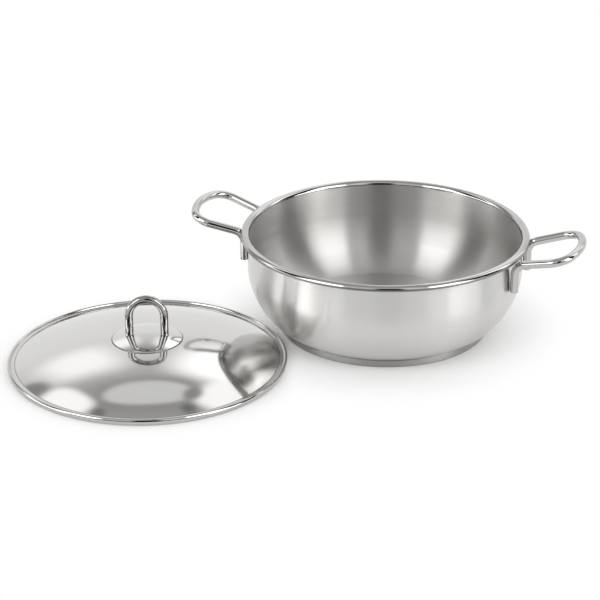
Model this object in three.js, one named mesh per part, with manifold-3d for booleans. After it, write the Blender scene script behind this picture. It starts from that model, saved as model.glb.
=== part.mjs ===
// Low stew pot of stainless steel with a capsule base, two wire handles and a domed lid with a wire knob.
// Millimetres, +Z up. The origin is the centre of the flat underside, and +X runs through the right handle.
// The lid lies on the table beside the pot, knob up.
import * as THREE from 'three';
import { mergeVertices } from 'three/addons/utils/BufferGeometryUtils.js';
import Module from 'manifold-3d';

// Pot body
const RIM_RADIUS = 125.4;        // outside of the turned lip
const POT_HEIGHT = 88.7;         // table to the crown of the lip
const WALL = 0.9;                // steel sheet of the body
const LIP_RADIUS = 3.8;          // round of the lip, outside
const LIP_DROP = 0.4;            // straight end of the lip below its round
const BELLY_SWELL = 0.85;        // how far the belly stands out past the neck
const BELLY_HEIGHT = 55.4;       // height where the belly is widest
const BELLY_UPPER_PULL = 18.3;   // upright pull of the belly's curve at its widest
const BELLY_LOWER_PULL = 15.7;   // outward pull of the belly's curve where it leaves the base
const BELLY_FOOT_SLOPE = 22;     // degrees that the belly rises where it leaves the base

// Capsule base
const BASE_RADIUS = 91.6;        // outside of the capsule
const CORE_THICKNESS = 6.7;      // aluminium disc
const CAP_SHEET = 0.6;           // steel of the capsule
const CAP_CORNER = 1.6;          // outer round of the capsule's bottom edge
const CAP_JOINT = 0.9;           // open line between the capsule and the belly
const CORE_CLEARANCE = 0.3;      // between the core and the capsule's wall

// Handles, one bent wire each
const HANDLE_WIRE_RADIUS = 3.6;
const LEG_HALF_SPACING = 26;     // half the distance between the two legs
const LEG_LENGTH = 16;           // straight leg below its bend
const LEG_BEND_RADIUS = 11;      // wire's middle line, from the leg into the arm
const ARM_RISE = 14.7;           // degrees that the arms climb outwards
const HANDLE_REACH = 45.8;       // from the lip to the middle line of the handle's end
const HANDLE_CORNER_RADIUS = 15.5; // wire's middle line, from the arm into the end
const HANDLE_END_RADIUS = 60;    // wire's middle line across the end
const LIP_CLEARANCE = 0.5;       // between the bend and the edge of the lip

// Lid
const LID_OVERLAP = 0.8;         // how far the lid's edge reaches past the pot's mouth
const LID_SHEET = 0.7;
const BEAD_HALF_WIDTH = 1.7;     // rolled edge, outside, an upright oval
const BEAD_HALF_HEIGHT = 2.8;
const BEAD_OPEN_ANGLE = 60;      // degrees of the rolled edge left open inside its foot
const FLANGE_WIDTH = 3.2;        // flat ring between the rolled edge and the dome
const FLANGE_HEIGHT = 4;         // table to the top of the flange
const CREASE_HEIGHT = 21.9;      // table to the ring where the dome meets the raised centre
const DOME_START_SLOPE = 4;      // degrees that the dome falls just outside that ring
const CENTRE_RADIUS = 29.7;      // raised round centre
const CENTRE_STEP = 0.7;         // edge of the raised centre above that ring
const CENTRE_STEP_RUN = 0.4;     // how far that edge leans outwards
const CENTRE_RISE = 3.9;         // crown of the raised centre above its edge
const LID_STAND_OFF = 8;         // table between the pot's base and the lid's edge
const LID_BEARING = 219;         // degrees from +X to the lid's place on the table

// Knob, one bent wire
const KNOB_WIRE_RADIUS = 3.45;
const KNOB_HALF_WIDTH = 14.8;    // half the distance between its legs
const KNOB_HEIGHT = 36;          // raised centre, where the legs stand on it, to the top of the wire
const KNOB_TURN = 17.5;          // degrees between the knob's plane and +X

// Fit shared by welded pieces
const WELD_GAP = 0.3;

// Fineness: flat steps that stand for each curve
const TURN_SEGMENTS = 60;
const WIRE_SIDES = 10;
const HANDLE_STEPS = 46;
const KNOB_STEPS = 26;
const BELLY_STEPS = 8;
const NECK_STEPS = 3;
const LIP_STEPS = 6;
const CAP_CORNER_STEPS = 4;
const CORE_CORNER_STEPS = 2;
const CENTRE_STEPS = 4;
const DOME_STEPS = 8;
const BEAD_STEPS = 10;
const SAME_POINT = 1e-4;         // points closer than this are one

// Sizes that follow from those above
const MOUTH_RADIUS = RIM_RADIUS - 2 * LIP_RADIUS;
const NECK_RADIUS = MOUTH_RADIUS + WALL;
const BELLY_RADIUS = NECK_RADIUS + BELLY_SWELL;
const BASE_HEIGHT = CAP_SHEET + CORE_THICKNESS;
const LEG_RADIUS = Math.max(BELLY_RADIUS, NECK_RADIUS) + WELD_GAP + HANDLE_WIRE_RADIUS;
const CENTRE_CROWN = CREASE_HEIGHT + CENTRE_STEP + CENTRE_RISE;
const LID_RADIUS = MOUTH_RADIUS + LID_OVERLAP;
const LID_DISTANCE = BASE_RADIUS + LID_STAND_OFF + LID_RADIUS;

const radians = THREE.MathUtils.degToRad;
const point = (x, y) => new THREE.Vector2(x, y);

// Points along an upright oval about (cx, cy), angles in degrees, both ends included.
function oval(cx, cy, halfWidth, halfHeight, from, to, steps) {
  const points = [];
  for (let i = 0; i <= steps; i += 1) {
    const angle = radians(from + ((to - from) * i) / steps);
    points.push(point(cx + halfWidth * Math.cos(angle), cy + halfHeight * Math.sin(angle)));
  }
  return points;
}

// The same along an arc.
const arc = (cx, cy, radius, ...turn) => oval(cx, cy, radius, radius, ...turn);

// Arc that leaves `start` falling at `slope` degrees and ends at `end`.
function fallingArc(start, end, slope, steps) {
  const chord = start.distanceTo(end);
  const fall = Math.atan2(start.y - end.y, end.x - start.x);
  const halfTurn = fall - radians(slope);
  const radius = chord / (2 * Math.sin(halfTurn));
  const first = 90 - slope;
  const last = first - THREE.MathUtils.radToDeg(2 * halfTurn);
  const cx = start.x - radius * Math.cos(radians(first));
  const cy = start.y - radius * Math.sin(radians(first));
  return arc(cx, cy, radius, first, last, steps);
}

// The line moved sideways by `distance` to its left, with mitred corners; an end on the axis stays on it.
function besides(line, distance) {
  return line.map((here, i) => {
    const before = line[Math.max(i - 1, 0)];
    const after = line[Math.min(i + 1, line.length - 1)];
    const into = here.clone().sub(before);
    const out = after.clone().sub(here);
    if (i === 0) into.copy(out);
    if (i === line.length - 1) out.copy(into);
    into.normalize();
    out.normalize();
    const left = point(-into.y - out.y, into.x + out.x).normalize();
    const mitre = left.dot(point(-into.y, into.x));
    const moved = here.clone().addScaledVector(left, distance / mitre);
    if (here.x === 0) moved.x = 0;
    return moved;
  });
}

// Closed outline of a sheet that has `line` as one face and lies to the left of it.
function sheetOutline(line, thickness) {
  const outline = [...line, ...besides(line, thickness).reverse()];
  if (line[0].x > 0) outline.push(outline[0].clone());
  return outline;
}

// Solid of revolution about +Z from an outline in (radius, height), run anticlockwise.
function turned(outline) {
  const geometry = new THREE.LatheGeometry(outline, TURN_SEGMENTS);
  geometry.rotateX(Math.PI / 2);
  return geometry;
}

// A quarter turn or less about `centre`, from direction `u` towards direction `v`, as one cubic piece.
function arcCurve(centre, u, v, radius, from, to) {
  const at = (angle) => centre.clone()
    .addScaledVector(u, radius * Math.cos(angle))
    .addScaledVector(v, radius * Math.sin(angle));
  const along = (angle) => new THREE.Vector3()
    .addScaledVector(u, -Math.sin(angle))
    .addScaledVector(v, Math.cos(angle));
  const pull = (4 / 3) * Math.tan((to - from) / 4) * radius;
  const start = at(from);
  const end = at(to);
  return new THREE.CubicBezierCurve3(
    start,
    start.clone().addScaledVector(along(from), pull),
    end.clone().addScaledVector(along(to), -pull),
    end,
  );
}

// Round wire along joined curves, with flat cut ends.
function wire(curves, radius, steps) {
  const path = new THREE.CurvePath();
  curves.forEach((curve) => path.add(curve));
  const section = new THREE.Shape();
  section.absarc(0, 0, radius, 0, 2 * Math.PI);
  return new THREE.ExtrudeGeometry(section, {
    extrudePath: path,
    steps,
    curveSegments: WIRE_SIDES / 2,
    bevelEnabled: false,
  });
}

const wasm = await Module();
wasm.setup();

function solidOf(geometry) {
  const bare = geometry.clone();
  bare.deleteAttribute('normal');
  bare.deleteAttribute('uv');
  const merged = mergeVertices(bare, SAME_POINT);
  const vertProperties = new Float32Array(merged.attributes.position.array);
  const triVerts = new Uint32Array(merged.index.array);
  return new wasm.Manifold(new wasm.Mesh({ numProp: 3, vertProperties, triVerts }));
}

function geometryOf(solid) {
  const mesh = solid.getMesh();
  const geometry = new THREE.BufferGeometry();
  geometry.setAttribute('position', new THREE.BufferAttribute(mesh.vertProperties, 3));
  geometry.setIndex(new THREE.BufferAttribute(mesh.triVerts, 1));
  geometry.computeVertexNormals();
  return geometry;
}

// Pot body: flat bottom, belly, neck, and the lip turned outwards and down.
function potBody() {
  const foot = point(BASE_RADIUS, BASE_HEIGHT);
  const widest = point(BELLY_RADIUS, BELLY_HEIGHT);
  const slope = radians(BELLY_FOOT_SLOPE);
  const belly = new THREE.CubicBezierCurve(
    foot,
    point(foot.x + BELLY_LOWER_PULL * Math.cos(slope), foot.y + BELLY_LOWER_PULL * Math.sin(slope)),
    point(widest.x, widest.y - BELLY_UPPER_PULL),
    widest,
  );
  const lipHeight = POT_HEIGHT - LIP_RADIUS;
  const third = (lipHeight - BELLY_HEIGHT) / 3;
  const neck = new THREE.CubicBezierCurve(
    widest,
    point(BELLY_RADIUS, BELLY_HEIGHT + third),
    point(NECK_RADIUS, lipHeight - third),
    point(NECK_RADIUS, lipHeight),
  );
  const underLip = LIP_RADIUS - WALL;
  const outside = [
    point(0, BASE_HEIGHT),
    ...belly.getPoints(BELLY_STEPS),
    ...neck.getPoints(NECK_STEPS).slice(1, -1),
    ...arc(RIM_RADIUS - LIP_RADIUS, lipHeight, underLip, 180, 0, LIP_STEPS),
    point(RIM_RADIUS - WALL, lipHeight - LIP_DROP),
  ];
  return turned(sheetOutline(outside, WALL));
}

// Capsule: a shallow dish of steel with a rounded bottom edge.
function baseCap() {
  const top = BASE_HEIGHT - CAP_JOINT;
  const outside = [
    point(0, 0),
    ...arc(BASE_RADIUS - CAP_CORNER, CAP_CORNER, CAP_CORNER, -90, 0, CAP_CORNER_STEPS),
    point(BASE_RADIUS, top),
  ];
  return turned(sheetOutline(outside, CAP_SHEET));
}

// Aluminium disc that fills the capsule, its lower edge rounded to lie in the capsule's corner.
function baseCore() {
  const radius = BASE_RADIUS - CAP_SHEET - CORE_CLEARANCE;
  const corner = CAP_CORNER - CAP_SHEET;
  return turned([
    point(0, CAP_SHEET),
    ...arc(radius - corner, CAP_SHEET + corner, corner, -90, 0, CORE_CORNER_STEPS),
    point(radius, BASE_HEIGHT),
    point(0, BASE_HEIGHT),
  ]);
}

// Handle on the +X side: each arm leaves the wall square to it, and the arms spread to a blunt, rounded end.
function handle() {
  const up = new THREE.Vector3(0, 0, 1);
  const across = new THREE.Vector3(0, 1, 0);
  const outward = new THREE.Vector3(Math.cos(radians(ARM_RISE)), 0, Math.sin(radians(ARM_RISE)));
  const spread = Math.asin(LEG_HALF_SPACING / LEG_RADIUS);

  // Height where the leg starts to bend, so that the bend passes just under the edge of the lip.
  const lipEdge = POT_HEIGHT - LIP_RADIUS - LIP_DROP;
  const keepOut = LEG_BEND_RADIUS + HANDLE_WIRE_RADIUS + LIP_CLEARANCE;
  const beyondLip = LEG_RADIUS + LEG_BEND_RADIUS - RIM_RADIUS;
  const bendHeight = lipEdge - Math.sqrt(Math.max(0, keepOut ** 2 - beyondLip ** 2));

  const legTop = new THREE.Vector3(LEG_RADIUS * Math.cos(spread), LEG_HALF_SPACING, bendHeight);
  const legFoot = legTop.clone().addScaledVector(up, -LEG_LENGTH);
  const arm = outward.clone().multiplyScalar(Math.cos(spread)).addScaledVector(across, Math.sin(spread));
  const bendTurn = up.angleTo(arm);
  const aside = arm.clone().addScaledVector(up, -up.dot(arm)).normalize();
  const bendCentre = legTop.clone().addScaledVector(aside, LEG_BEND_RADIUS);
  const bend = arcCurve(bendCentre, aside.clone().negate(), up, LEG_BEND_RADIUS, 0, bendTurn);
  const armStart = bend.v3;

  // In the handle's slanted plane: s runs outward from below armStart, and t runs across.
  const origin = new THREE.Vector3(armStart.x, 0, armStart.z);
  const inPlane = (s, t) => origin.clone().addScaledVector(outward, s).addScaledVector(across, t);
  const endReach = (RIM_RADIUS + HANDLE_REACH - armStart.x) / outward.x;
  const endCentre = endReach - HANDLE_END_RADIUS;
  const inset = point(Math.sin(spread), -Math.cos(spread)).multiplyScalar(HANDLE_CORNER_RADIUS);
  const along = point(Math.cos(spread), Math.sin(spread));
  const fromEnd = point(inset.x - endCentre, armStart.y + inset.y);
  const slack = HANDLE_END_RADIUS - HANDLE_CORNER_RADIUS;
  const nearest = fromEnd.dot(along);
  const armRun = -nearest + Math.sqrt(nearest ** 2 - fromEnd.lengthSq() + slack ** 2);
  const corner = point(inset.x, armStart.y + inset.y).addScaledVector(along, armRun);
  const cornerFrom = Math.PI / 2 + spread;
  const cornerTo = Math.atan2(corner.y, corner.x - endCentre);

  // One side from its foot to the middle of the end, then the same mirrored back to the other foot.
  const side = [
    new THREE.LineCurve3(legFoot, legTop),
    bend,
    new THREE.LineCurve3(armStart, armStart.clone().addScaledVector(arm, armRun)),
    arcCurve(inPlane(corner.x, corner.y), outward, across, HANDLE_CORNER_RADIUS, cornerFrom, cornerTo),
    arcCurve(inPlane(endCentre, 0), outward, across, HANDLE_END_RADIUS, cornerTo, 0),
  ];
  return wire([...side, ...mirroredBack(side, across)], HANDLE_WIRE_RADIUS, HANDLE_STEPS);
}

// The same curves seen in a mirror square to `normal` through the origin, run the other way.
function mirroredBack(curves, normal) {
  const flip = (v) => v.clone().addScaledVector(normal, -2 * v.dot(normal));
  return [...curves].reverse().map((curve) => (curve.isLineCurve3
    ? new THREE.LineCurve3(flip(curve.v2), flip(curve.v1))
    : new THREE.CubicBezierCurve3(flip(curve.v3), flip(curve.v2), flip(curve.v1), flip(curve.v0))));
}

// Radius of the ball that the lid's raised centre is part of.
function centreBall() {
  return (CENTRE_RADIUS ** 2 + CENTRE_RISE ** 2) / (2 * CENTRE_RISE);
}

// Top face of the raised centre, from the axis to its edge, lifted by `lift`.
function centreCurve(lift) {
  const ball = centreBall();
  const reach = THREE.MathUtils.radToDeg(Math.asin(CENTRE_RADIUS / ball));
  const curve = arc(0, CENTRE_CROWN - ball, ball + lift, 90, 90 - reach, CENTRE_STEPS);
  curve[0].x = 0;
  return curve;
}

// Lid: raised centre with a stepped edge, dome, flange and an edge rolled down and under, all one sheet.
function lidShell() {
  const beadCentre = LID_RADIUS - BEAD_HALF_WIDTH;
  const joinRise = Math.asin((FLANGE_HEIGHT - BEAD_HALF_HEIGHT) / BEAD_HALF_HEIGHT);
  const joinAngle = 180 - THREE.MathUtils.radToDeg(joinRise);
  const bead = oval(
    beadCentre, BEAD_HALF_HEIGHT, BEAD_HALF_WIDTH, BEAD_HALF_HEIGHT,
    joinAngle, BEAD_OPEN_ANGLE - 180, BEAD_STEPS,
  );
  const domeFoot = point(bead[0].x - FLANGE_WIDTH, FLANGE_HEIGHT);
  const crease = point(CENTRE_RADIUS + CENTRE_STEP_RUN, CREASE_HEIGHT);
  const dome = fallingArc(crease, domeFoot, DOME_START_SLOPE, DOME_STEPS);
  const top = [...centreCurve(0), ...dome, ...bead];
  return turned(sheetOutline(top.reverse(), LID_SHEET));
}

// Knob: an upside-down U whose feet are cut to the raised centre.
function lidKnob() {
  const ball = centreBall();
  const seat = CENTRE_CROWN - ball + Math.sqrt(ball ** 2 - KNOB_HALF_WIDTH ** 2);
  const archHeight = seat + KNOB_HEIGHT - KNOB_WIRE_RADIUS - KNOB_HALF_WIDTH;
  const up = new THREE.Vector3(0, 0, 1);
  const across = new THREE.Vector3(1, 0, 0);
  const foot = new THREE.Vector3(KNOB_HALF_WIDTH, 0, seat - KNOB_WIRE_RADIUS);
  const side = [
    new THREE.LineCurve3(foot, new THREE.Vector3(KNOB_HALF_WIDTH, 0, archHeight)),
    arcCurve(new THREE.Vector3(0, 0, archHeight), across, up, KNOB_HALF_WIDTH, 0, Math.PI / 2),
  ];
  const bent = wire([...side, ...mirroredBack(side, across)], KNOB_WIRE_RADIUS, KNOB_STEPS);
  const underside = [
    point(0, 0),
    point(CENTRE_RADIUS, 0),
    ...centreCurve(WELD_GAP).reverse(),
  ];
  return geometryOf(solidOf(bent).subtract(solidOf(turned(underside))));
}

function steel(color, roughness) {
  return new THREE.MeshStandardMaterial({ color, roughness, metalness: 1 });
}

function named(name, geometry, material) {
  const mesh = new THREE.Mesh(geometry, material);
  mesh.name = name;
  return mesh;
}

const bodySteel = steel(0xc9c9c6, 0.18);
const coreAluminium = steel(0xd4d5d6, 0.45);
const capSteel = steel(0xb9b9b6, 0.3);
const wireSteel = steel(0xd6d6d4, 0.08);
const lidSteel = steel(0xd2d2d0, 0.08);

const pot = new THREE.Group();
pot.add(named('pot_body', potBody(), bodySteel));
pot.add(named('base_core', baseCore(), coreAluminium));
pot.add(named('base_cap', baseCap(), capSteel));
pot.add(named('right_handle', handle(), wireSteel));
const leftHandle = named('left_handle', handle(), wireSteel);
leftHandle.rotation.z = Math.PI;
pot.add(leftHandle);

const lid = new THREE.Group();
lid.add(named('lid_shell', lidShell(), lidSteel));
const knob = named('lid_knob', lidKnob(), wireSteel);
knob.rotation.z = radians(KNOB_TURN);
lid.add(knob);
const bearing = radians(LID_BEARING);
lid.position.set(LID_DISTANCE * Math.cos(bearing), LID_DISTANCE * Math.sin(bearing), 0);

const stewPot = new THREE.Group();
stewPot.add(pot, lid);

export default stewPot;
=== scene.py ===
"""Looks of a low stainless steel stew pot and its lid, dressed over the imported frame.

The file is laid out as an add-on and run as a script. Lengths are metres in the frame's own axes:
+Z up from the table, +X through the right handle, and the lid lying on the table beside the pot.
"""

import math

import bpy
from bpy.props import FloatProperty, FloatVectorProperty, IntProperty, PointerProperty
from mathutils import Matrix, Vector


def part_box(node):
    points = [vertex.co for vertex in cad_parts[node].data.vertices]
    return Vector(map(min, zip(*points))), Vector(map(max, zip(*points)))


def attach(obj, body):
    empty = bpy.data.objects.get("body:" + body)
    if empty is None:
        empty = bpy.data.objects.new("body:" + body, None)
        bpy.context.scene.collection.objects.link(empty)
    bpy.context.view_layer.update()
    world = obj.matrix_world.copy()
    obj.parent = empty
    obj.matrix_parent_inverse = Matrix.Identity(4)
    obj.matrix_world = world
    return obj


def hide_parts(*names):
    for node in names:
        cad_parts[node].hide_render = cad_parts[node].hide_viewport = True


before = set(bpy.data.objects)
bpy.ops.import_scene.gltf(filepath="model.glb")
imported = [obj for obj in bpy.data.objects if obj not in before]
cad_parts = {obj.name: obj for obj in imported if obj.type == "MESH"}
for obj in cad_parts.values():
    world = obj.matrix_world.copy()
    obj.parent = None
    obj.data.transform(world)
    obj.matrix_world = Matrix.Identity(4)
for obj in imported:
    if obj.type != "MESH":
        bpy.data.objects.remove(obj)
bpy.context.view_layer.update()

bl_info = {
    "name": "Stew Pot",
    "version": (1, 0, 0),
    "blender": (4, 5, 0),
    "location": "3D View > Sidebar > Stew Pot",
    "description": "Dresses a stainless steel stew pot and its lid",
    "category": "Object",
}

MM = 0.001

# Places and outer sizes, from the frame
POT_LOW, POT_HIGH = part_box("pot_body")
CAP_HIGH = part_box("base_cap")[1]
LID_LOW, LID_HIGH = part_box("lid_shell")
KNOB_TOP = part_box("lid_knob")[1].z
RIM_RADIUS = POT_HIGH.x
POT_HEIGHT = POT_HIGH.z
BASE_HEIGHT = POT_LOW.z
BASE_RADIUS = CAP_HIGH.x
CAP_TOP = CAP_HIGH.z
LID_RADIUS = (LID_HIGH.x - LID_LOW.x) / 2
LID_CROWN = LID_HIGH.z
LID_PLACE = Vector(((LID_LOW.x + LID_HIGH.x) / 2, (LID_LOW.y + LID_HIGH.y) / 2, 0))

# Fineness of the dressed meshes
PATH_RADIUS = 0.1
SAME_POINT = 0.001 * MM
SHARP_CORNER = math.radians(12)
EASED_STEPS = 5
EASED_SHARE = 1 / 3
SHEET_EASE = 0.3 * MM
CAP_EASE = 0.5 * MM
FOOT_RUN = 1.0 * MM
LONG_STEPS = 64
SHORT_STEPS = 24
DULL_SHADED_STEPS = 3
WIRE_SIDES = 32
QUAD_CORNERS = 4

# Zones of a turned sheet, each with a finish of its own
FIRST, SECOND, THIRD, FOURTH = 0.0, 1.0, 2.0, 3.0
FINISH_OF_ZONE = {
    FIRST: "Finish",
    SECOND: "Second Finish",
    THIRD: "Third Finish",
    FOURTH: "Fourth Finish",
}
ZONE_MARGIN = 0.5

# Patterns in the metals: nearly all of a noise lies between its low and its high value
NOISE_LOW = 0.3
NOISE_HIGH = 0.7
LINE_DETAIL = 3.0
LINE_ROUGHNESS = 0.6
HAZE_SIZE = 30 * MM
HAZE_DETAIL = 2.0
HAZE_SPREAD = 0.25
HAZE_SHADE = 0.02
MIRROR_ROUGHNESS = 0.08
QUARTER_TURN = 0.25

# Camera, from the fit of its picture: 600 pixels across 36 mm of sensor
CAMERA_PLACE = Vector((413.7, -1558.1, 739.5)) * MM
CAMERA_TURN = math.radians(17.5)
CAMERA_PITCH = math.radians(24.021)
CAMERA_LENS = 120
CAMERA_SENSOR = 36
CAMERA_FAR = 50


def linear(hex_colour):
    """Linear red, green, blue and alpha of an sRGB hex colour."""
    channels = [int(hex_colour[i:i + 2], 16) / 255 for i in (1, 3, 5)]
    light = [c / 12.92 if c <= 0.04045 else ((c + 0.055) / 1.055) ** 2.4 for c in channels]
    return (*light, 1.0)


def length(name, description, millimetres):
    """A length property, with its default given in millimetres."""
    return FloatProperty(name=name, description=description, default=millimetres * MM,
                         unit="LENGTH", precision=5)


def angle(name, description, degrees):
    """An angle property, with its default given in degrees."""
    return FloatProperty(name=name, description=description, default=math.radians(degrees),
                         subtype="ANGLE")


def colour(name, description, hex_colour):
    """A colour property, with its default given as an sRGB hex value."""
    return FloatVectorProperty(name=name, description=description, subtype="COLOR", size=4,
                               min=0, max=1, default=linear(hex_colour))


class StewPotSizes(bpy.types.PropertyGroup):
    """Sheet, curves and base of the pot."""

    wall: length("Wall", "Steel sheet of the body", 0.9)
    lip_radius: length("Lip round", "Outside round of the turned lip", 3.8)
    lip_drop: length("Lip drop", "Straight end of the lip below its round", 0.4)
    belly_swell: length("Belly swell", "How far the belly stands out past the neck", 0.85)
    belly_height: length("Belly height", "Height where the belly is widest", 55.4)
    upper_pull: length("Upper pull", "Upright pull of the belly's curve at its widest", 18.3)
    lower_pull: length("Lower pull", "Outward pull of the belly's curve at the base", 15.7)
    foot_slope: angle("Foot slope", "Rise of the belly where it leaves the base", 22)
    cap_sheet: length("Cap sheet", "Steel of the capsule under the base", 0.6)
    cap_corner: length("Cap corner", "Round of the capsule's bottom edge", 1.6)
    segments: IntProperty(name="Segments", description="Steps round each turned piece",
                          default=192, min=24)


class StewPotHandleSizes(bpy.types.PropertyGroup):
    """One bent wire, welded on by its two legs."""

    wire_radius: length("Wire radius", "Half the wire's thickness", 3.6)
    weld_gap: length("Weld gap", "Between the wall and the leg", 0.3)
    leg_half_spacing: length("Half spacing", "Half the distance between the legs", 26)
    leg_length: length("Leg length", "Straight leg below its bend", 16)
    bend_radius: length("Leg bend", "Middle line from the leg into the arm", 11)
    arm_rise: angle("Arm rise", "Climb of the arms outwards", 14.7)
    reach: length("Reach", "From the lip to the middle line of the end", 45.8)
    corner_radius: length("Corner", "Middle line from the arm into the end", 15.5)
    end_radius: length("End", "Middle line across the end", 60)
    lip_clearance: length("Lip clearance", "Between the bend and the lip's edge", 0.5)
    end_round: length("End round", "Round of the wire's cut edge", 0.5)


class StewPotLidSizes(bpy.types.PropertyGroup):
    """One pressed sheet with a rolled edge, and the knob's wire on it."""

    sheet: length("Sheet", "Steel of the lid", 0.7)
    bead_half_width: length("Bead half width", "Half the width of the rolled edge", 1.7)
    bead_half_height: length("Bead half height", "Half the height of the rolled edge", 2.8)
    bead_open: angle("Bead opening", "Part of the rolled edge left open inside its foot", 60)
    flange_width: length("Flange width", "Flat ring between the rolled edge and the dome", 3.2)
    flange_height: length("Flange height", "Table to the top of the flange", 4)
    crease_height: length("Crease height", "Table to the ring round the raised centre", 21.9)
    dome_slope: angle("Dome slope", "Fall of the dome just outside that ring", 4)
    centre_radius: length("Centre radius", "Raised round centre", 29.7)
    centre_step: length("Centre step", "Edge of the raised centre above its ring", 0.7)
    centre_step_run: length("Centre step run", "How far that edge leans outwards", 0.4)
    knob_wire: length("Knob wire", "Half the thickness of the knob's wire", 3.45)
    knob_half_width: length("Knob half width", "Half the distance between the knob's legs", 14.8)
    knob_turn: angle("Knob turn", "Between the knob's plane and +X", 17.5)
    knob_gap: length("Knob gap", "Between the knob's feet and the lid", 0.3)


class StewPotLooks(bpy.types.PropertyGroup):
    """Colours of the metals."""

    steel: colour("Steel", "Stainless steel, polished or brushed", "#D5D4D2")
    wire_steel: colour("Wire steel", "Stainless steel, mirror polished", "#BFBEBC")
    # Knob steel is the handles' steel painted darker: painted shade on the knob.
    knob_steel_painted_shade: colour("Knob steel", "Stainless steel of the knob, mirror polished", "#A5A4A2")
    # Dull steel: its darker tint is painted shade for the creases and the lip's turned-under edge.
    dull_steel_and_crease_shade: colour("Dull steel and crease shade", "Stainless steel that isn't buffed", "#868584")
    # Base steel is painted darker than the body's steel: painted shade at the pot's foot.
    base_steel: colour("Base steel", "Stainless steel of the capsule", "#AEADAB")
    aluminium: colour("Aluminium", "Rolled disc in the base", "#DCDDDD")
    floor: colour("Floor", "Table and backdrop", "#FDFDFD")


class StewPotSettings(bpy.types.PropertyGroup):
    """All sizes and colours of the stew pot."""

    pot: PointerProperty(type=StewPotSizes, name="Pot", description="Sizes of the pot")
    handle: PointerProperty(type=StewPotHandleSizes, name="Handle",
                            description="Sizes of the handles")
    lid: PointerProperty(type=StewPotLidSizes, name="Lid",
                         description="Sizes of the lid and its knob")
    looks: PointerProperty(type=StewPotLooks, name="Looks", description="Colours of the metals")


def oval(centre, half_width, half_height, start, end, steps):
    """Points of an upright oval in (radius, height), both ends included."""
    turns = [start + (end - start) * i / steps for i in range(steps + 1)]
    return [centre + Vector((half_width * math.cos(a), half_height * math.sin(a))) for a in turns]


def arc(centre, radius, start, end, steps):
    """Points of an arc in (radius, height), both ends included."""
    return oval(centre, radius, radius, start, end, steps)


def bezier(a, b, c, d, steps):
    """Points of a cubic curve, both ends included."""
    points = []
    for i in range(steps + 1):
        t = i / steps
        u = 1 - t
        points.append(u ** 3 * a + 3 * u * u * t * b + 3 * u * t * t * c + t ** 3 * d)
    return points


def space_arc(centre, u, v, radius, start, end, steps):
    """Points of an arc about `centre` from direction u towards v, both ends included."""
    turns = [start + (end - start) * i / steps for i in range(steps + 1)]
    return [centre + (u * math.cos(a) + v * math.sin(a)) * radius for a in turns]


def straight(start, end, end_round):
    """Points of a straight run without its end, closer together over the rounded cut edge."""
    span = (end - start).length
    steps = [i / EASED_STEPS for i in range(EASED_STEPS)]
    near = [end_round * step for step in steps] if end_round else []
    far = [end_round + (span - end_round) * step for step in steps]
    return [start + (end - start) * (distance / span) for distance in near + far]


def left_of(line, distance):
    """The line moved sideways to its left, with mitred corners; an end on the axis stays on it."""
    moved = []
    for i, here in enumerate(line):
        into = (here - line[i - 1]).normalized() if i else None
        out = (line[i + 1] - here).normalized() if i + 1 < len(line) else into
        into = into or out
        side = Vector((-into.y - out.y, into.x + out.x)).normalized()
        mitre = side.dot(Vector((-into.y, into.x)))
        there = here + side * (distance / mitre)
        if here.x == 0:
            there.x = 0
        moved.append(there)
    return moved


def eased(points, reach):
    """The line of (place, zone) pairs with each sharp corner rounded.

    A corner is cut back by `reach`, but by no more than a share of the line beside it.
    """
    soft = [points[0]]
    for (before, _), (here, zone), (after, _) in zip(points, points[1:], points[2:]):
        into = here - before
        out = after - here
        if into.angle(out) < SHARP_CORNER:
            soft.append((here, zone))
            continue
        first = here - into.normalized() * min(reach, into.length * EASED_SHARE)
        last = here + out.normalized() * min(reach, out.length * EASED_SHARE)
        for i in range(EASED_STEPS + 1):
            t = i / EASED_STEPS
            soft.append(((1 - t) ** 2 * first + 2 * (1 - t) * t * here + t * t * last, zone))
    soft.append(points[-1])
    return soft


def add(tree, kind, links=None, **settings):
    """Adds a node with its settings; `links` gives each input a value or an output to feed it."""
    node = tree.nodes.new(kind)
    for key, value in settings.items():
        setattr(node, key, value)
    for socket, source in (links or {}).items():
        if isinstance(source, bpy.types.NodeSocket):
            tree.links.new(source, node.inputs[socket])
        else:
            node.inputs[socket].default_value = source
    return node


def new_shape_tree(name, inputs):
    """A geometry tree that takes a line and the named inputs, and the sockets that give them."""
    tree = bpy.data.node_groups.new(name, "GeometryNodeTree")
    tree.interface.new_socket("Geometry", in_out="OUTPUT", socket_type="NodeSocketGeometry")
    for label, kind in [("Line", "NodeSocketGeometry"), *inputs]:
        tree.interface.new_socket(label, in_out="INPUT", socket_type=kind)
    return tree, add(tree, "NodeGroupInput").outputs


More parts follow.
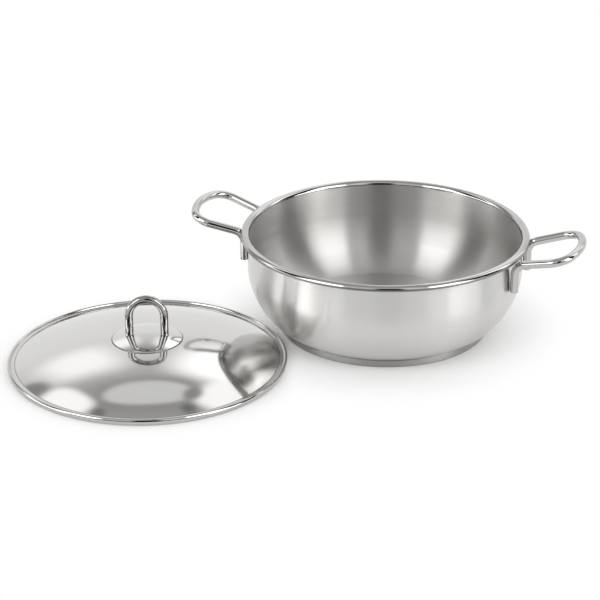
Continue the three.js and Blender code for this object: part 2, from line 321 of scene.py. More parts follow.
def turned_sheet_tree():
    """Turns a closed outline about +Z. Each zone marked on the outline takes a finish of its own."""
    tree, given = new_shape_tree("Turned Sheet", [
        ("Segments", "NodeSocketInt"),
        ("Path Radius", "NodeSocketFloat"),
        ("Same Point", "NodeSocketFloat"),
        *((label, "NodeSocketMaterial") for label in FINISH_OF_ZONE.values()),
    ])
    outline = add(tree, "GeometryNodeMeshToCurve", {"Mesh": given["Line"]})
    path = add(tree, "GeometryNodeCurvePrimitiveCircle",
               {"Resolution": given["Segments"], "Radius": given["Path Radius"]})
    swept = add(tree, "GeometryNodeCurveToMesh",
                {"Curve": path.outputs["Curve"], "Profile Curve": outline.outputs["Curve"]})
    closed = add(tree, "GeometryNodeMergeByDistance",
                 {"Geometry": swept.outputs["Mesh"], "Distance": given["Same Point"]})
    smooth = add(tree, "GeometryNodeSetShadeSmooth", {"Geometry": closed.outputs["Geometry"]})
    made = add(tree, "GeometryNodeRealizeInstances", {"Geometry": smooth.outputs[0]})
    mark = add(tree, "GeometryNodeInputNamedAttribute", {"Name": "zone"}, data_type="FLOAT")
    for zone, label in FINISH_OF_ZONE.items():
        inside = add(tree, "FunctionNodeCompare",
                     {"A": mark.outputs["Attribute"], "B": zone - ZONE_MARGIN},
                     data_type="FLOAT", operation="GREATER_THAN")
        made = add(tree, "GeometryNodeSetMaterial",
                   {"Geometry": made.outputs[0], "Selection": inside.outputs[0],
                    "Material": given[label]})
    add(tree, "NodeGroupOutput", {"Geometry": made.outputs[0]})
    return tree


def bent_wire_tree():
    """Round wire along a line, its cut ends flat. A point's taper thins the wire there."""
    tree, given = new_shape_tree("Bent Wire", [
        ("Wire Radius", "NodeSocketFloat"),
        ("Sides", "NodeSocketInt"),
        ("Finish", "NodeSocketMaterial"),
    ])
    line = add(tree, "GeometryNodeMeshToCurve", {"Mesh": given["Line"]})
    section = add(tree, "GeometryNodeCurvePrimitiveCircle",
                  {"Resolution": given["Sides"], "Radius": given["Wire Radius"]})
    taper = add(tree, "GeometryNodeInputNamedAttribute", {"Name": "zone"}, data_type="FLOAT")
    swept = add(tree, "GeometryNodeCurveToMesh",
                {"Curve": line.outputs["Curve"], "Profile Curve": section.outputs["Curve"],
                 "Scale": taper.outputs["Attribute"], "Fill Caps": True})
    corners = add(tree, "GeometryNodeInputMeshFaceNeighbors")
    around = add(tree, "FunctionNodeCompare",
                 {"A": corners.outputs["Vertex Count"], "B": QUAD_CORNERS},
                 data_type="INT", operation="LESS_EQUAL")
    smooth = add(tree, "GeometryNodeSetShadeSmooth",
                 {"Geometry": swept.outputs["Mesh"], "Selection": around.outputs[0]})
    real = add(tree, "GeometryNodeRealizeInstances", {"Geometry": smooth.outputs[0]})
    dressed = add(tree, "GeometryNodeSetMaterial",
                  {"Geometry": real.outputs[0], "Material": given["Finish"]})
    add(tree, "NodeGroupOutput", {"Geometry": dressed.outputs[0]})
    return tree


def shaped(name, places, zones, tree, inputs):
    """A plain mesh object that `tree` makes from a line; `zones` marks each place with a number."""
    line = bpy.data.meshes.new(name + "_line")
    line.from_pydata([tuple(p) for p in places], [(i, i + 1) for i in range(len(places) - 1)], [])
    line.attributes.new("zone", "FLOAT", "POINT").data.foreach_set("value", zones)
    maker = bpy.data.objects.new(name + "_maker", line)
    bpy.context.scene.collection.objects.link(maker)
    modifier = maker.modifiers.new("Shape", "NODES")
    modifier.node_group = tree
    for item in tree.interface.items_tree:
        if item.in_out == "INPUT" and item.name in inputs:
            modifier[item.identifier] = inputs[item.name]
    depsgraph = bpy.context.evaluated_depsgraph_get()
    mesh = bpy.data.meshes.new_from_object(maker.evaluated_get(depsgraph))
    maker.modifiers.remove(modifier)
    bpy.data.objects.remove(maker)
    if not mesh.polygons:
        raise RuntimeError(f"{name} came out empty")
    mesh.name = name
    piece = bpy.data.objects.new(name, mesh)
    bpy.context.scene.collection.objects.link(piece)
    return piece


def turned(name, outline, settings, *finishes):
    """A turned piece from an outline of (place, zone) pairs in (radius, height), run anticlockwise.

    The last finish also stands for the zones that the outline doesn't use.
    """
    clockwise = outline[::-1]
    places = [(p.x - PATH_RADIUS, -p.y, 0) for p, _ in clockwise]
    zones = [zone for _, zone in clockwise]
    spare = finishes[-1:] * (len(FINISH_OF_ZONE) - len(finishes))
    return shaped(name, places, zones, turned_sheet_tree(), {
        "Segments": settings.pot.segments,
        "Path Radius": PATH_RADIUS,
        "Same Point": SAME_POINT,
        **dict(zip(FINISH_OF_ZONE.values(), finishes + spare)),
    })


def bent(name, places, wire_radius, end_round, finish):
    """A wire piece along the places, with the edges of its two cut ends rounded by `end_round`."""
    tapers = [1.0] * len(places)
    if end_round:
        for i, place in enumerate(places):
            near = min((place - places[0]).length, (place - places[-1]).length)
            left = max(0.0, 1 - near / end_round)
            tapers[i] = 1 - (end_round / wire_radius) * (1 - math.sqrt(1 - left * left))
    return shaped(name, places, tapers, bent_wire_tree(), {
        "Wire Radius": wire_radius,
        "Sides": WIRE_SIDES,
        "Finish": finish,
    })


def new_material(name):
    """An empty node material and its tree."""
    material = bpy.data.materials.new(name)
    material.use_nodes = True
    tree = material.node_tree
    tree.nodes.clear()
    return material, tree


def brushed_metal(name, tint, roughness, stretch, line_spacing, line_length, streak):
    """Metal worked round +Z, so that each light it mirrors is drawn out across the brush lines.

    `line_spacing` and `line_length` are in metres, `streak` is the share by which lines differ.
    """
    material, tree = new_material(name)
    place = add(tree, "ShaderNodeTexCoord").outputs["Object"]
    flat = add(tree, "ShaderNodeVectorMath", {0: place, 1: (1, 1, 0)}, operation="MULTIPLY")
    reach = add(tree, "ShaderNodeVectorMath", {0: flat.outputs[0]}, operation="LENGTH")
    heading = add(tree, "ShaderNodeVectorMath", {0: flat.outputs[0]}, operation="NORMALIZE")
    along = add(tree, "ShaderNodeVectorMath",
                {0: heading.outputs[0], "Scale": RIM_RADIUS / line_length}, operation="SCALE")
    apart = add(tree, "ShaderNodeSeparateXYZ", {0: place})
    climb = add(tree, "ShaderNodeMath", {0: apart.outputs["Z"], 1: reach.outputs["Value"]},
                operation="ADD")
    across = add(tree, "ShaderNodeMath", {0: climb.outputs[0], 1: 1 / line_spacing},
                 operation="MULTIPLY")
    lift = add(tree, "ShaderNodeCombineXYZ", {"Z": across.outputs[0]})
    spot = add(tree, "ShaderNodeVectorMath", {0: along.outputs[0], 1: lift.outputs[0]},
               operation="ADD")
    lines = add(tree, "ShaderNodeTexNoise",
                {"Vector": spot.outputs[0], "Scale": 1.0,
                 "Detail": LINE_DETAIL, "Roughness": LINE_ROUGHNESS})
    rough = add(tree, "ShaderNodeMapRange",
                {"Value": lines.outputs[0], "From Min": NOISE_LOW, "From Max": NOISE_HIGH,
                 "To Min": roughness * (1 - streak), "To Max": roughness * (1 + streak)})
    shade = add(tree, "ShaderNodeMapRange",
                {"Value": lines.outputs[0], "From Min": NOISE_LOW, "From Max": NOISE_HIGH,
                 "To Min": 1 - streak / 2, "To Max": 1.0})
    tinted = add(tree, "ShaderNodeVectorMath",
                 {0: tuple(tint)[:3], "Scale": shade.outputs[0]}, operation="SCALE")
    round_axis = add(tree, "ShaderNodeTangent", direction_type="RADIAL", axis="Z")
    metal = add(tree, "ShaderNodeBsdfPrincipled",
                {"Base Color": tinted.outputs[0], "Metallic": 1.0, "Roughness": rough.outputs[0],
                 "Anisotropic": stretch, "Anisotropic Rotation": QUARTER_TURN,
                 "Tangent": round_axis.outputs[0]})
    add(tree, "ShaderNodeOutputMaterial", {"Surface": metal.outputs[0]})
    return material


def polished_metal(name, tint, roughness):
    """Metal buffed to a mirror; faint patches left by the wheel soften it unevenly."""
    material, tree = new_material(name)
    coordinates = add(tree, "ShaderNodeTexCoord")
    haze = add(tree, "ShaderNodeTexNoise",
               {"Vector": coordinates.outputs["Object"], "Scale": 1 / HAZE_SIZE,
                "Detail": HAZE_DETAIL})
    rough = add(tree, "ShaderNodeMapRange",
                {"Value": haze.outputs[0], "From Min": NOISE_LOW, "From Max": NOISE_HIGH,
                 "To Min": roughness * (1 - HAZE_SPREAD), "To Max": roughness * (1 + HAZE_SPREAD)})
    shade = add(tree, "ShaderNodeMapRange",
                {"Value": haze.outputs[0], "From Min": NOISE_LOW, "From Max": NOISE_HIGH,
                 "To Min": 1 - HAZE_SHADE, "To Max": 1.0})
    tinted = add(tree, "ShaderNodeVectorMath",
                 {0: tuple(tint)[:3], "Scale": shade.outputs[0]}, operation="SCALE")
    metal = add(tree, "ShaderNodeBsdfPrincipled",
                {"Base Color": tinted.outputs[0], "Metallic": 1.0, "Roughness": rough.outputs[0]})
    add(tree, "ShaderNodeOutputMaterial", {"Surface": metal.outputs[0]})
    return material


def mirror_steel(settings):
    """Steel of the handles and rolled edges, made once."""
    name = "stainless_steel_mirror_polished"
    # Mirror buffed: hard bright and black streaks along the wire and round the rolled edges.
    return bpy.data.materials.get(name) or polished_metal(
        name, settings.looks.wire_steel, MIRROR_ROUGHNESS)


def dull_steel_and_crease_shade(settings):
    """Steel of creases and turned-under edges, dull and painted darker as painted shade, made once.
    """
    name = "stainless_steel_unbuffed_crease_shade"
    # The buffing wheel doesn't reach into creases and under edges, so they stay thin, dull lines;
    # their tint is also painted darker, as painted shade in the creases and under the edges.
    return bpy.data.materials.get(name) or polished_metal(
        name, settings.looks.dull_steel_and_crease_shade, roughness=0.35)


def keep(piece, body, slot, *nodes):
    """Puts a finished piece on its body in place of the CAD nodes."""
    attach(piece, body)
    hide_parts(*nodes)


class STEWPOT_OT_pot_body(bpy.types.Operator):
    """Makes the drawn body: floor, belly, neck and turned lip"""

    bl_idname = "stewpot.pot_body"
    bl_label = "Pot body"

    def execute(self, context):
        settings = context.scene.stew_pot
        sizes = settings.pot
        lip_height = POT_HEIGHT - sizes.lip_radius
        neck = RIM_RADIUS - 2 * sizes.lip_radius + sizes.wall
        belly = neck + sizes.belly_swell
        foot = Vector((BASE_RADIUS, BASE_HEIGHT))
        widest = Vector((belly, sizes.belly_height))
        heel = Vector((math.cos(sizes.foot_slope), math.sin(sizes.foot_slope))) * sizes.lower_pull
        third = Vector((0, (lip_height - sizes.belly_height) / 3))
        throat = Vector((neck, lip_height))
        lip_centre = Vector((RIM_RADIUS - sizes.lip_radius, lip_height))
        outside = [
            Vector((0, BASE_HEIGHT)),
            foot - Vector((FOOT_RUN, 0)),
            *bezier(foot, foot + heel, widest - Vector((0, sizes.upper_pull)), widest, LONG_STEPS),
            *bezier(widest, widest + third, throat - third, throat, SHORT_STEPS)[1:-1],
            *arc(lip_centre, sizes.lip_radius - sizes.wall, math.pi, 0, SHORT_STEPS),
            Vector((RIM_RADIUS - sizes.wall, lip_height - sizes.lip_drop)),
        ]
        inside = left_of(outside, sizes.wall)
        # The lip is its round and its straight end; the last steps are turned under and stay dull,
        # painted darker as painted shade under the lip.
        lip_start = len(outside) - SHORT_STEPS - 2
        lip_zones = [THIRD] * (SHORT_STEPS - DULL_SHADED_STEPS) + [FOURTH] * (DULL_SHADED_STEPS + 2)
        outline = list(zip(outside, [FIRST] * lip_start + lip_zones))
        outline += reversed(list(zip(inside, [SECOND] * lip_start + lip_zones)))
        # Drawn sheet buffed outside: lights are drawn out upright, with fairly crisp sides.
        buffed = brushed_metal("stainless_steel_buffed", settings.looks.steel,
                               roughness=0.26, stretch=1.0,
                               line_spacing=0.8 * MM, line_length=90 * MM, streak=0.03)
        # Inside brushed on a lathe: the same drawn-out lights, and hairlines round wall and floor.
        # Real hairlines lie about 0.2 mm apart; they are drawn wider, so that the render shows them.
        satin = brushed_metal("stainless_steel_lathe_brushed", settings.looks.steel,
                              roughness=0.35, stretch=1.0,
                              line_spacing=0.8 * MM, line_length=200 * MM, streak=0.14)
        piece = turned("pot_body_sheet", eased(outline, SHEET_EASE), settings,
                       buffed, satin, mirror_steel(settings), dull_steel_and_crease_shade(settings))
        keep(piece, "pot", "pot_steel", "pot_body")
        return {"FINISHED"}


class STEWPOT_OT_base(bpy.types.Operator):
    """Makes the capsule under the pot and dresses the disc sealed in it"""

    bl_idname = "stewpot.base"
    bl_label = "Base"

    def execute(self, context):
        settings = context.scene.stew_pot
        sizes = settings.pot
        corner = Vector((BASE_RADIUS - sizes.cap_corner, sizes.cap_corner))
        outside = [
            Vector((0, 0)),
            *arc(corner, sizes.cap_corner, -math.pi / 2, 0, SHORT_STEPS),
            Vector((BASE_RADIUS, CAP_TOP)),
        ]
        inside = left_of(outside, sizes.cap_sheet)
        outline = [(p, FIRST) for p in [*outside, *reversed(inside)]]
        # Pressed capsule with a lathe-brushed side: a duller band than the belly, its tint painted
        # greyer as painted shade at the pot's foot.
        satin = brushed_metal("stainless_steel_pressed_satin_painted_shade", settings.looks.base_steel,
                              roughness=0.36, stretch=0.9,
                              line_spacing=0.9 * MM, line_length=60 * MM, streak=0.1)
        piece = turned("base_capsule", eased(outline, CAP_EASE), settings, satin)
        keep(piece, "pot", "base_steel", "base_cap")
        # Rolled aluminium plate, as it comes off the mill: pale and evenly dull.
        rolled = brushed_metal("aluminium_rolled", settings.looks.aluminium,
                               roughness=0.45, stretch=0.3,
                               line_spacing=1.0 * MM, line_length=60 * MM, streak=0.1)
        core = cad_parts["base_core"]
        core.data.materials.clear()
        core.data.materials.append(rolled)
        return {"FINISHED"}


def handle_line(settings):
    """Middle line of the handle on the +X side, from one foot to the other."""
    sizes = settings.handle
    pot = settings.pot
    neck = RIM_RADIUS - 2 * pot.lip_radius + pot.wall
    leg_radius = neck + pot.belly_swell + sizes.weld_gap + sizes.wire_radius
    spread = math.asin(sizes.leg_half_spacing / leg_radius)
    up = Vector((0, 0, 1))
    across = Vector((0, 1, 0))
    outward = Vector((math.cos(sizes.arm_rise), 0, math.sin(sizes.arm_rise)))

    # The bend passes just under the edge of the lip.
    lip_edge = POT_HEIGHT - pot.lip_radius - pot.lip_drop
    keep_out = sizes.bend_radius + sizes.wire_radius + sizes.lip_clearance
    beyond_lip = leg_radius + sizes.bend_radius - RIM_RADIUS
    bend_height = lip_edge - math.sqrt(max(0, keep_out ** 2 - beyond_lip ** 2))

    leg_top = Vector((leg_radius * math.cos(spread), sizes.leg_half_spacing, bend_height))
    leg_foot = leg_top - up * sizes.leg_length
    arm = outward * math.cos(spread) + across * math.sin(spread)
    aside = (arm - up * up.dot(arm)).normalized()
    bend_centre = leg_top + aside * sizes.bend_radius
    bend = space_arc(bend_centre, -aside, up, sizes.bend_radius, 0, up.angle(arm), SHORT_STEPS)
    arm_start = bend[-1]

    # In the handle's slanted plane, the arm meets a corner arc that meets the blunt end's arc.
    origin = Vector((arm_start.x, 0, arm_start.z))
    end_centre = (RIM_RADIUS + sizes.reach - arm_start.x) / outward.x - sizes.end_radius
    inset = Vector((math.sin(spread), -math.cos(spread))) * sizes.corner_radius
    along = Vector((math.cos(spread), math.sin(spread)))
    start = Vector((inset.x, arm_start.y + inset.y))
    from_end = start - Vector((end_centre, 0))
    slack = sizes.end_radius - sizes.corner_radius
    nearest = from_end.dot(along)
    arm_run = -nearest + math.sqrt(nearest ** 2 - from_end.length_squared + slack ** 2)
    corner = start + along * arm_run
    corner_from = math.pi / 2 + spread
    corner_to = math.atan2(corner.y, corner.x - end_centre)
    corner_centre = origin + outward * corner.x + across * corner.y
    blunt_centre = origin + outward * end_centre

    side = [
        *straight(leg_foot, leg_top, sizes.end_round),
        *bend,
        *straight(arm_start, arm_start + arm * arm_run, 0)[1:],
        *space_arc(corner_centre, outward, across, sizes.corner_radius,
                   corner_from, corner_to, SHORT_STEPS)[1:],
        *space_arc(blunt_centre, outward, across, sizes.end_radius, corner_to, 0, SHORT_STEPS)[1:],
    ]
    mirrored = [Vector((p.x, -p.y, p.z)) for p in reversed(side[:-1])]
    return side + mirrored


class STEWPOT_OT_handles(bpy.types.Operator):
    """Bends the two wire handles"""

    bl_idname = "stewpot.handles"
    bl_label = "Handles"

    def execute(self, context):
        settings = context.scene.stew_pot
        sizes = settings.handle
        places = handle_line(settings)
        for node, turn in (("right_handle", 0), ("left_handle", math.pi)):
            piece = bent(node + "_wire", places, sizes.wire_radius, sizes.end_round,
                         mirror_steel(settings))
            piece.data.transform(Matrix.Rotation(turn, 4, "Z"))
            keep(piece, "pot", "handle_wire", node)
        return {"FINISHED"}


def centre_ball(sizes):
    """Radius of the ball that the lid's raised centre is part of."""
    rise = LID_CROWN - sizes.crease_height - sizes.centre_step
    return (sizes.centre_radius ** 2 + rise ** 2) / (2 * rise)


class STEWPOT_OT_lid_shell(bpy.types.Operator):
    """Presses the lid: raised centre, dome, flange and rolled edge"""

    bl_idname = "stewpot.lid_shell"
    bl_label = "Lid"

    def execute(self, context):
        settings = context.scene.stew_pot
        sizes = settings.lid
        ball = centre_ball(sizes)
        ball_centre = Vector((0, LID_CROWN - ball))
        reach = math.asin(sizes.centre_radius / ball)
        centre = arc(ball_centre, ball, math.pi / 2, math.pi / 2 - reach, SHORT_STEPS)
        centre[0].x = 0

        tall = sizes.bead_half_height
        bead_centre = Vector((LID_RADIUS - sizes.bead_half_width, tall))
        join = math.pi - math.asin((sizes.flange_height - tall) / tall)
        roll_end = sizes.bead_open - math.pi
        bead = oval(bead_centre, sizes.bead_half_width, tall, join, roll_end, LONG_STEPS // 2)
        crease = Vector((sizes.centre_radius + sizes.centre_step_run, sizes.crease_height))
        foot = Vector((bead[0].x - sizes.flange_width, sizes.flange_height))
        chord = foot - crease
        half_turn = math.atan2(-chord.y, chord.x) - sizes.dome_slope
        radius = chord.length / (2 * math.sin(half_turn))
        first = math.pi / 2 - sizes.dome_slope
        dome_centre = crease - radius * Vector((math.cos(first), math.sin(first)))
        dome = arc(dome_centre, radius, first, first - 2 * half_turn, LONG_STEPS)

        top = [*centre, *dome, *bead][::-1]
        creases = [centre[-1], dome[0], dome[-1]]

        def zone(place):
            """Mirror on the rolled edge, dull with painted shade in the creases, and buffed
            elsewhere.
            """
            if place in bead[1:]:
                return THIRD
            return SECOND if place in creases else FIRST

        zones = [zone(place) for place in top]
        under = left_of(top, sizes.sheet)
        outline = [*reversed(list(zip(under, zones))), *zip(top, zones)]
        # Buffed on a wheel: the dome shows clear, slightly soft shapes of the lamps.
        buffed = polished_metal("stainless_steel_lid_polished", settings.looks.steel, roughness=0.09)
        piece = turned("lid_sheet", eased(outline, SHEET_EASE), settings,
                       buffed, dull_steel_and_crease_shade(settings), mirror_steel(settings))
        piece.data.transform(Matrix.Translation(LID_PLACE))
        keep(piece, "lid", "lid_steel", "lid_shell")
        return {"FINISHED"}


class STEWPOT_OT_lid_knob(bpy.types.Operator):
    """Bends the knob and sets its feet on the lid's raised centre"""

    bl_idname = "stewpot.lid_knob"
    bl_label = "Knob"

    def execute(self, context):
        settings = context.scene.stew_pot
        sizes = settings.lid
        ball = centre_ball(sizes)
        half = sizes.knob_half_width

        def seat(reach):
            """Height of the feet at a distance from the lid's axis."""
            return LID_CROWN - ball + math.sqrt(ball ** 2 - reach ** 2) + sizes.knob_gap

        arch = Vector((0, 0, KNOB_TOP - sizes.knob_wire - half))
        across = Vector((1, 0, 0))
        foot = Vector((half, 0, seat(half)))
        top = Vector((half, 0, arch.z))
        side = [
            *straight(foot, top, 0),
            *space_arc(arch, across, Vector((0, 0, 1)), half, 0, math.pi / 2, SHORT_STEPS),
        ]
        mirrored = [Vector((-p.x, p.y, p.z)) for p in reversed(side[:-1])]
        # Drawn wire, mirror buffed: the same hard streaks as on the handles, with its tint painted
        # darker as painted shade.
        polished = polished_metal("stainless_steel_wire_polished_painted_shade", settings.looks.knob_steel_painted_shade,
                                  MIRROR_ROUGHNESS)
        piece = bent("lid_knob_wire", side + mirrored, sizes.knob_wire, 0, polished)
        # The cut feet follow the raised centre's curve; the shift fades out over a wire's thickness.
        for vertex in piece.data.vertices:
            share = max(0.0, 1 - (vertex.co.z - foot.z) / (2 * sizes.knob_wire))
            vertex.co.z += min(1.0, share) * (seat(vertex.co.xy.length) - foot.z)
        turn = Matrix.Rotation(sizes.knob_turn, 4, "Z")
        piece.data.transform(Matrix.Translation(LID_PLACE) @ turn)
        keep(piece, "lid", "knob_wire", "lid_knob")
        return {"FINISHED"}


# Light of the studio, as soft-edged panels round the object. Each has the compass angle of its
# middle from straight ahead of the camera, clockwise, its height above the horizon, half its width
# and half its height, all in degrees, the share of it that is a soft edge, its roundness (2 is an
# oval) and its brightness. A panel lies in front of those listed before it.
PANELS = [
    ("back", -6, 10, 34, 16, 0.35, 4, 1.22),
    ("left far dark", -54, 24, 9, 26, 0.30, 4, 0.45),
    ("left side", -72, 32, 5, 22, 0.40, 4, 2.6),
    ("left key", -123, 32, 20, 20, 0.10, 6, 3.9),
    ("left dark", -92, 28, 13.5, 28, 0.25, 2, 0.0),
    ("right key", 128, 32, 18, 20, 0.10, 6, 3.9),
    ("right dark", 94, 28, 14.5, 28, 0.25, 2, 0.0),
    ("right side", 73, 32, 5, 22, 0.40, 4, 3.0),
    ("right far side", 46, 32, 4, 20, 0.50, 4, 2.4),
    ("grey front", 181, 24, 30, 45, 0.05, 6, 0.95),
    ("pale front", 157, 28, 6, 40, 0.20, 6, 1.2),
    ("low front", -174, 0, 56, 15, 0.08, 6, 0.05),
    ("left low", -97, 0, 21, 13, 0.10, 6, 4.6),
    ("right low", 115, 0, 15, 13, 0.10, 6, 4.8),
    ("dark front", 178, 20, 10, 30, 0.35, 4, 0.0),
    ("left back", -19, 34.5, 7, 7.5, 0.60, 3, 1.75),
    ("right back", 15, 37, 11, 10, 0.40, 3, 2.0),
    ("overhead ring", -5, 57, 13.5, 9, 0.30, 2, 0.46),
    ("overhead", -5, 56, 10, 6, 0.12, 2, 1.05),
    ("left gap", -35, 37, 4, 5, 0.35, 2, 0.4),
    ("left high", -34, 50, 4.5, 8, 0.25, 3, 1.8),
    ("right high", 22, 52, 5.5, 7.5, 0.25, 3, 1.8),
    ("right gap", 12, 55, 2, 3.5, 0.40, 2, 0.42),
    ("left corner", -30, 60.5, 1.6, 2.2, 0.40, 2, 0.25),
    ("right corner", 15, 62, 1.8, 2.2, 0.40, 2, 0.20),
]

# Where the backdrop ends, in degrees above the horizon, and the light of it and of the ceiling
BACKDROP_TOP = 42
BACKDROP_EDGE = 12
BACKDROP_LIGHT = 1.05
CEILING_LIGHT = 0.58

# Half the table's side, how far it lies below the pieces, and the light added to its shadows
FLOOR_HALF = 8.0
FLOOR_DROP = 0.05 * MM
FLOOR_LIFT = 0.03

# How far past the pot's base and the lid's edge the table's shadow fades out
POT_SHADE = 75 * MM
LID_SHADE = 25 * MM


def soft_panel_group():
    """How much of a flat panel is seen in a direction: 1 on it, 0 off it, with a soft edge."""
    group = bpy.data.node_groups.new("Soft Panel", "ShaderNodeTree")
    group.interface.new_socket("Share", in_out="OUTPUT", socket_type="NodeSocketFloat")
    for label in ("Direction", "Facing", "Beside", "Above"):
        group.interface.new_socket(label, in_out="INPUT", socket_type="NodeSocketVector")
    for label in ("Roundness", "Edge"):
        group.interface.new_socket(label, in_out="INPUT", socket_type="NodeSocketFloat")
    given = add(group, "NodeGroupInput").outputs
    facing = add(group, "ShaderNodeVectorMath", {0: given["Direction"], 1: given["Facing"]},
                 operation="DOT_PRODUCT").outputs["Value"]
    powers = []
    for side in ("Beside", "Above"):
        along = add(group, "ShaderNodeVectorMath", {0: given["Direction"], 1: given[side]},
                    operation="DOT_PRODUCT")
        share = add(group, "ShaderNodeMath", {0: along.outputs["Value"], 1: facing},
                    operation="DIVIDE")
        size = add(group, "ShaderNodeMath", {0: share.outputs[0]}, operation="ABSOLUTE")
        powers.append(add(group, "ShaderNodeMath", {0: size.outputs[0], 1: given["Roundness"]},
                          operation="POWER").outputs[0])
    total = add(group, "ShaderNodeMath", {0: powers[0], 1: powers[1]}, operation="ADD")
    root = add(group, "ShaderNodeMath", {0: 1.0, 1: given["Roundness"]}, operation="DIVIDE")
    out = add(group, "ShaderNodeMath", {0: total.outputs[0], 1: root.outputs[0]},
              operation="POWER")
    inner = add(group, "ShaderNodeMath", {0: 1.0, 1: given["Edge"]}, operation="SUBTRACT")
    outer = add(group, "ShaderNodeMath", {0: 1.0, 1: given["Edge"]}, operation="ADD")
    mask = add(group, "ShaderNodeMapRange",
               {"Value": out.outputs[0], "From Min": inner.outputs[0], "From Max": outer.outputs[0],
                "To Min": 1.0, "To Max": 0.0}, interpolation_type="SMOOTHSTEP")
    front = add(group, "ShaderNodeMath", {0: facing, 1: 0.0}, operation="GREATER_THAN")
    seen = add(group, "ShaderNodeMath", {0: mask.outputs[0], 1: front.outputs[0]},
               operation="MULTIPLY")
    add(group, "NodeGroupOutput", {"Share": seen.outputs[0]})
    return group


def studio_world():
    """World with a pale backdrop up to a height, a grey ceiling, and the panels in front of both."""
    world = bpy.data.worlds.new("studio")
    world.use_nodes = True
    tree = world.node_tree
    tree.nodes.clear()
    way = add(tree, "ShaderNodeTexCoord").outputs["Generated"]
    apart = add(tree, "ShaderNodeSeparateXYZ", {0: way})
    height = add(tree, "ShaderNodeMath", {0: apart.outputs["Z"]}, operation="ARCSINE")
    light = add(tree, "ShaderNodeMapRange",
                {"Value": height.outputs[0], "From Min": math.radians(BACKDROP_TOP - BACKDROP_EDGE),
                 "From Max": math.radians(BACKDROP_TOP + BACKDROP_EDGE),
                 "To Min": BACKDROP_LIGHT, "To Max": CEILING_LIGHT}, interpolation_type="SMOOTHSTEP")
    panel = soft_panel_group()
    for _, compass, rise, half_wide, half_high, edge, roundness, brightness in PANELS:
        turn = CAMERA_TURN - math.radians(compass)
        lift = math.radians(rise)
        beside = Vector((math.cos(turn), math.sin(turn), 0))
        ahead = Vector((-math.sin(turn), math.cos(turn), 0))
        facing = ahead * math.cos(lift) + Vector((0, 0, math.sin(lift)))
        above = beside.cross(facing)
        share = add(tree, "ShaderNodeGroup", {
            "Direction": way,
            "Facing": facing,
            "Beside": beside / math.tan(math.radians(half_wide)),
            "Above": above / math.tan(math.radians(half_high)),
            "Roundness": roundness,
            "Edge": edge,
        }, node_tree=panel)
        light = add(tree, "ShaderNodeMix",
                    {0: share.outputs[0], 2: light.outputs[0], 3: brightness}, data_type="FLOAT")
    seen = add(tree, "ShaderNodeLightPath")
    shown = add(tree, "ShaderNodeMix",
                {0: seen.outputs["Is Camera Ray"], 2: light.outputs[0], 3: 1.0}, data_type="FLOAT")
    glow = add(tree, "ShaderNodeBackground", {"Strength": shown.outputs[0]})
    add(tree, "ShaderNodeOutputWorld", {"Surface": glow.outputs[0]})
    return world


def floor_material(tint, shaded):
    """Matt pale table that keeps the shadows and is plain white elsewhere, seen or mirrored.

    `shaded` gives, for each thing that stands on it, its middle, how far from there the shadow
    is whole, and how far from there it has faded out.
    """
    material, tree = new_material("table_matt_white")
    coordinates = add(tree, "ShaderNodeTexCoord")
    seen = add(tree, "ShaderNodeLightPath")
    direct = add(tree, "ShaderNodeMath",
                 {0: seen.outputs["Is Camera Ray"], 1: seen.outputs["Is Glossy Ray"]},
                 operation="MAXIMUM")
    any_view = add(tree, "ShaderNodeMath",
                   {0: direct.outputs[0], 1: seen.outputs["Is Transmission Ray"]},
                   operation="MAXIMUM")
    lift = add(tree, "ShaderNodeMath", {0: any_view.outputs[0], 1: FLOOR_LIFT},
               operation="MULTIPLY")
    share = any_view
    for middle, whole, faded in shaded:
        away = add(tree, "ShaderNodeVectorMath", {0: coordinates.outputs["Object"], 1: middle},
                   operation="DISTANCE")
        fade = add(tree, "ShaderNodeMapRange",
                   {"Value": away.outputs["Value"], "From Min": whole, "From Max": faded},
                   interpolation_type="SMOOTHSTEP")
        share = add(tree, "ShaderNodeMath", {0: share.outputs[0], 1: fade.outputs[0]},
                    operation="MINIMUM")
    matt = add(tree, "ShaderNodeBsdfDiffuse", {"Color": tuple(tint)})
    lifting = add(tree, "ShaderNodeEmission", {"Strength": lift.outputs[0]})
    lifted = add(tree, "ShaderNodeAddShader", {0: matt.outputs[0], 1: lifting.outputs[0]})
    white = add(tree, "ShaderNodeEmission", {"Strength": 1.0})
    mixed = add(tree, "ShaderNodeMixShader",
                {0: share.outputs[0], 1: lifted.outputs[0], 2: white.outputs[0]})
    add(tree, "ShaderNodeOutputMaterial", {"Surface": mixed.outputs[0]})
    return material


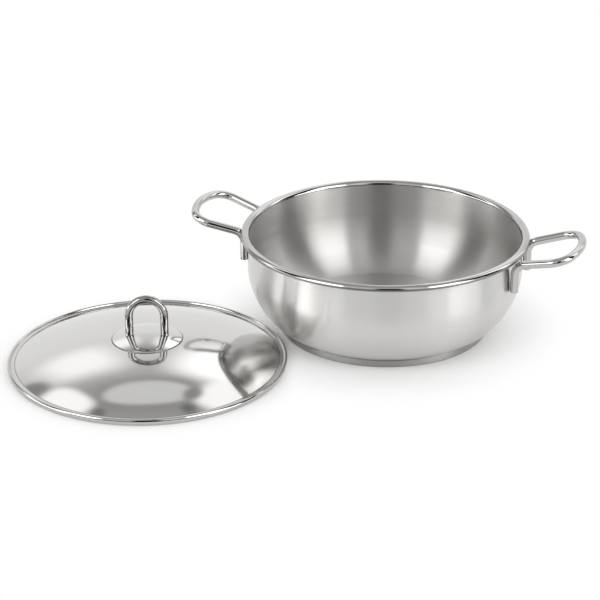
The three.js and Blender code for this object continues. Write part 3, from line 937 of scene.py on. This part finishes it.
class STEWPOT_OT_stage(bpy.types.Operator):
    """Sets the floor, the studio light and the camera"""

    bl_idname = "stewpot.stage"
    bl_label = "Stage"

    def execute(self, context):
        scene = context.scene
        mesh = bpy.data.meshes.new("floor")
        corners = [(x * FLOOR_HALF, y * FLOOR_HALF, -FLOOR_DROP)
                   for x, y in ((-1, -1), (1, -1), (1, 1), (-1, 1))]
        mesh.from_pydata(corners, [], [(0, 1, 2, 3)])
        pot_shade = (Vector(), BASE_RADIUS, BASE_RADIUS + POT_SHADE)
        lid_shade = (LID_PLACE, LID_RADIUS - LID_SHADE / 2, LID_RADIUS + LID_SHADE)
        tint = scene.stew_pot.looks.floor
        mesh.materials.append(floor_material(tint, (pot_shade, lid_shade)))
        floor = bpy.data.objects.new("floor", mesh)
        scene.collection.objects.link(floor)

        scene.world = studio_world()
        camera = bpy.data.cameras.new("camera")
        camera.lens = CAMERA_LENS
        camera.sensor_width = CAMERA_SENSOR
        camera.clip_end = CAMERA_FAR
        eye = bpy.data.objects.new("camera", camera)
        eye.location = CAMERA_PLACE
        eye.rotation_euler = (math.pi / 2 - CAMERA_PITCH, 0, CAMERA_TURN)
        scene.collection.objects.link(eye)
        scene.camera = eye
        scene.view_settings.view_transform = "Standard"
        return {"FINISHED"}


class STEWPOT_PT_panel(bpy.types.Panel):
    """Lists the pieces of the stew pot"""

    bl_idname = "STEWPOT_PT_panel"
    bl_label = "Stew Pot"
    bl_space_type = "VIEW_3D"
    bl_region_type = "UI"
    bl_category = "Stew Pot"

    def draw(self, context):
        for operator in OPERATORS:
            self.layout.operator(operator.bl_idname)


OPERATORS = (
    STEWPOT_OT_pot_body,
    STEWPOT_OT_base,
    STEWPOT_OT_handles,
    STEWPOT_OT_lid_shell,
    STEWPOT_OT_lid_knob,
    STEWPOT_OT_stage,
)
GROUPS = (StewPotSizes, StewPotHandleSizes, StewPotLidSizes, StewPotLooks, StewPotSettings)
CLASSES = (*GROUPS, *OPERATORS, STEWPOT_PT_panel)


def register():
    for made in CLASSES:
        bpy.utils.register_class(made)
    bpy.types.Scene.stew_pot = PointerProperty(type=StewPotSettings, name="Stew pot",
                                               description="Sizes and colours of the stew pot")


def unregister():
    del bpy.types.Scene.stew_pot
    for made in reversed(CLASSES):
        bpy.utils.unregister_class(made)


def main():
    register()
    bpy.ops.stewpot.pot_body()
    bpy.ops.stewpot.base()
    bpy.ops.stewpot.handles()
    bpy.ops.stewpot.lid_shell()
    bpy.ops.stewpot.lid_knob()
    bpy.ops.stewpot.stage()


if __name__ == "__main__":
    main()
